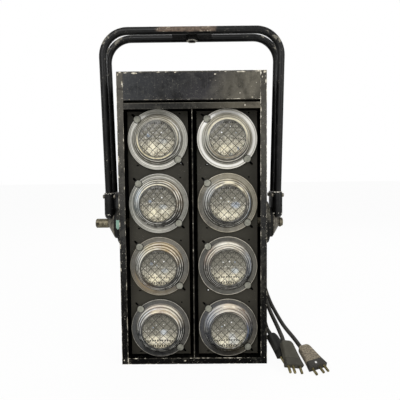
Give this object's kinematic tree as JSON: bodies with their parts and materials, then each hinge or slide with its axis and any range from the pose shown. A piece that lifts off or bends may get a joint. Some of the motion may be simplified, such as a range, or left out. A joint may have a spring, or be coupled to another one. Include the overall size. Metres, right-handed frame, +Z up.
{
  "type": "audience blinder",
  "caption": "Upright stage blinder: two panning columns of sealed beam lamps in a black steel box, on a double tube yoke with a clamp knob, leads and pin plugs.",
  "frame": {"origin": "centre of the underside of the box, on the surface it stands on", "axes": "+Z up the box, -Y out of the lamps, +X to the right of someone who faces the lamps"},
  "size_m": [0.4362, 0.2672, 0.6367],
  "materials": {
    "housing_paint": "satin black enamel, scuffed, with cream chips on the edges",
    "tray_paint": "matt black, heat resistant",
    "yoke_paint": "satin black, rubbed through on the top bar",
    "bare_steel": "aged steel with a brown tone",
    "zinc_plate": "dull grey green zinc plate",
    "lamp_glass": "clear pressed glass over a silvered reflector",
    "black_moulding": "black moulding",
    "cord_rubber": "matt black rubber",
    "plug_moulding": "dark grey brown moulding with brass pins"
  },
  "bodies": {
    "housing": {"housing_shell": "housing_paint", "terminal_shelf": "housing_paint", "divider": "tray_paint", "back_panel": "housing_paint", "top_cover": "housing_paint", "terminal_block": "black_moulding", "tray_pivot_left": "zinc_plate", "tray_pivot_right": "zinc_plate", "base_disc_left": "housing_paint", "base_disc_right": "housing_paint", "friction_washer_left": "black_moulding", "friction_washer_right": "black_moulding", "pivot_bolt_left": "bare_steel", "pivot_bolt_right": "bare_steel", "gland_plate": "black_moulding", "cord_a": "cord_rubber", "cord_b": "cord_rubber", "cord_c": "cord_rubber", "plug_a_block": "plug_moulding", "plug_a_shell": "plug_moulding", "plug_b_block": "plug_moulding", "plug_b_shell": "plug_moulding", "plug_c_block": "plug_moulding", "plug_c_shell": "plug_moulding"},
    "yoke": {"yoke_tube_front": "yoke_paint", "yoke_tube_rear": "yoke_paint", "yoke_plate": "yoke_paint", "yoke_nut": "bare_steel", "sleeve_left": "yoke_paint", "sleeve_right": "yoke_paint", "hub_left": "bare_steel", "hub_right": "bare_steel"},
    "knob": {"barrel_knob": "bare_steel"},
    "tray_left": {"tray_left": "tray_paint", "lamp_left_1": "lamp_glass", "lamp_left_2": "lamp_glass", "lamp_left_3": "lamp_glass", "lamp_left_4": "lamp_glass"},
    "tray_right": {"tray_right": "tray_paint", "lamp_right_1": "lamp_glass", "lamp_right_2": "lamp_glass", "lamp_right_3": "lamp_glass", "lamp_right_4": "lamp_glass"},
    "clip_left_1_upper": {"clip_left_1_upper": "zinc_plate"},
    "clip_left_1_lower": {"clip_left_1_lower": "zinc_plate"},
    "clip_left_2_upper": {"clip_left_2_upper": "zinc_plate"},
    "clip_left_2_lower": {"clip_left_2_lower": "zinc_plate"},
    "clip_left_3_upper": {"clip_left_3_upper": "zinc_plate"},
    "clip_left_3_lower": {"clip_left_3_lower": "zinc_plate"},
    "clip_left_4_upper": {"clip_left_4_upper": "zinc_plate"},
    "clip_left_4_lower": {"clip_left_4_lower": "zinc_plate"},
    "clip_right_1_upper": {"clip_right_1_upper": "zinc_plate"},
    "clip_right_1_lower": {"clip_right_1_lower": "zinc_plate"},
    "clip_right_2_upper": {"clip_right_2_upper": "zinc_plate"},
    "clip_right_2_lower": {"clip_right_2_lower": "zinc_plate"},
    "clip_right_3_upper": {"clip_right_3_upper": "zinc_plate"},
    "clip_right_3_lower": {"clip_right_3_lower": "zinc_plate"},
    "clip_right_4_upper": {"clip_right_4_upper": "zinc_plate"},
    "clip_right_4_lower": {"clip_right_4_lower": "zinc_plate"}
  },
  "joints": [
    {"name": "yoke_tilt", "type": "hinge", "parent": "housing", "child": "yoke", "pos_m": [0, 0, 0.26], "axis": [1, 0, 0], "range_deg": [-120, 120]},
    {"name": "knob_turn", "type": "hinge", "parent": "housing", "child": "knob", "pos_m": [-0.185, 0, 0.26], "axis": [1, 0, 0], "continuous": true},
    {"name": "tray_left_pan", "type": "hinge", "parent": "housing", "child": "tray_left", "pos_m": [-0.065, -0.0307, 0.2415], "axis": [0, 0, 1], "range_deg": [-20, 20]},
    {"name": "tray_right_pan", "type": "hinge", "parent": "housing", "child": "tray_right", "pos_m": [0.065, -0.0307, 0.2415], "axis": [0, 0, 1], "range_deg": [-20, 20]},
    {"name": "clip_left_1_upper_slide", "type": "slide", "parent": "tray_left", "child": "clip_left_1_upper", "axis": [-0.7071, 0, 0.7071], "range_m": [0, 0.008]},
    {"name": "clip_left_1_lower_slide", "type": "slide", "parent": "tray_left", "child": "clip_left_1_lower", "axis": [0.7071, 0, -0.7071], "range_m": [0, 0.008]},
    {"name": "clip_left_2_upper_slide", "type": "slide", "parent": "tray_left", "child": "clip_left_2_upper", "axis": [-0.7071, 0, 0.7071], "range_m": [0, 0.008]},
    {"name": "clip_left_2_lower_slide", "type": "slide", "parent": "tray_left", "child": "clip_left_2_lower", "axis": [0.7071, 0, -0.7071], "range_m": [0, 0.008]},
    {"name": "clip_left_3_upper_slide", "type": "slide", "parent": "tray_left", "child": "clip_left_3_upper", "axis": [-0.7071, 0, 0.7071], "range_m": [0, 0.008]},
    {"name": "clip_left_3_lower_slide", "type": "slide", "parent": "tray_left", "child": "clip_left_3_lower", "axis": [0.7071, 0, -0.7071], "range_m": [0, 0.008]},
    {"name": "clip_left_4_upper_slide", "type": "slide", "parent": "tray_left", "child": "clip_left_4_upper", "axis": [-0.7071, 0, 0.7071], "range_m": [0, 0.008]},
    {"name": "clip_left_4_lower_slide", "type": "slide", "parent": "tray_left", "child": "clip_left_4_lower", "axis": [0.7071, 0, -0.7071], "range_m": [0, 0.008]},
    {"name": "clip_right_1_upper_slide", "type": "slide", "parent": "tray_right", "child": "clip_right_1_upper", "axis": [-0.7071, 0, 0.7071], "range_m": [0, 0.008]},
    {"name": "clip_right_1_lower_slide", "type": "slide", "parent": "tray_right", "child": "clip_right_1_lower", "axis": [0.7071, 0, -0.7071], "range_m": [0, 0.008]},
    {"name": "clip_right_2_upper_slide", "type": "slide", "parent": "tray_right", "child": "clip_right_2_upper", "axis": [-0.7071, 0, 0.7071], "range_m": [0, 0.008]},
    {"name": "clip_right_2_lower_slide", "type": "slide", "parent": "tray_right", "child": "clip_right_2_lower", "axis": [0.7071, 0, -0.7071], "range_m": [0, 0.008]},
    {"name": "clip_right_3_upper_slide", "type": "slide", "parent": "tray_right", "child": "clip_right_3_upper", "axis": [-0.7071, 0, 0.7071], "range_m": [0, 0.008]},
    {"name": "clip_right_3_lower_slide", "type": "slide", "parent": "tray_right", "child": "clip_right_3_lower", "axis": [0.7071, 0, -0.7071], "range_m": [0, 0.008]},
    {"name": "clip_right_4_upper_slide", "type": "slide", "parent": "tray_right", "child": "clip_right_4_upper", "axis": [-0.7071, 0, 0.7071], "range_m": [0, 0.008]},
    {"name": "clip_right_4_lower_slide", "type": "slide", "parent": "tray_right", "child": "clip_right_4_lower", "axis": [0.7071, 0, -0.7071], "range_m": [0, 0.008]}
  ]
}
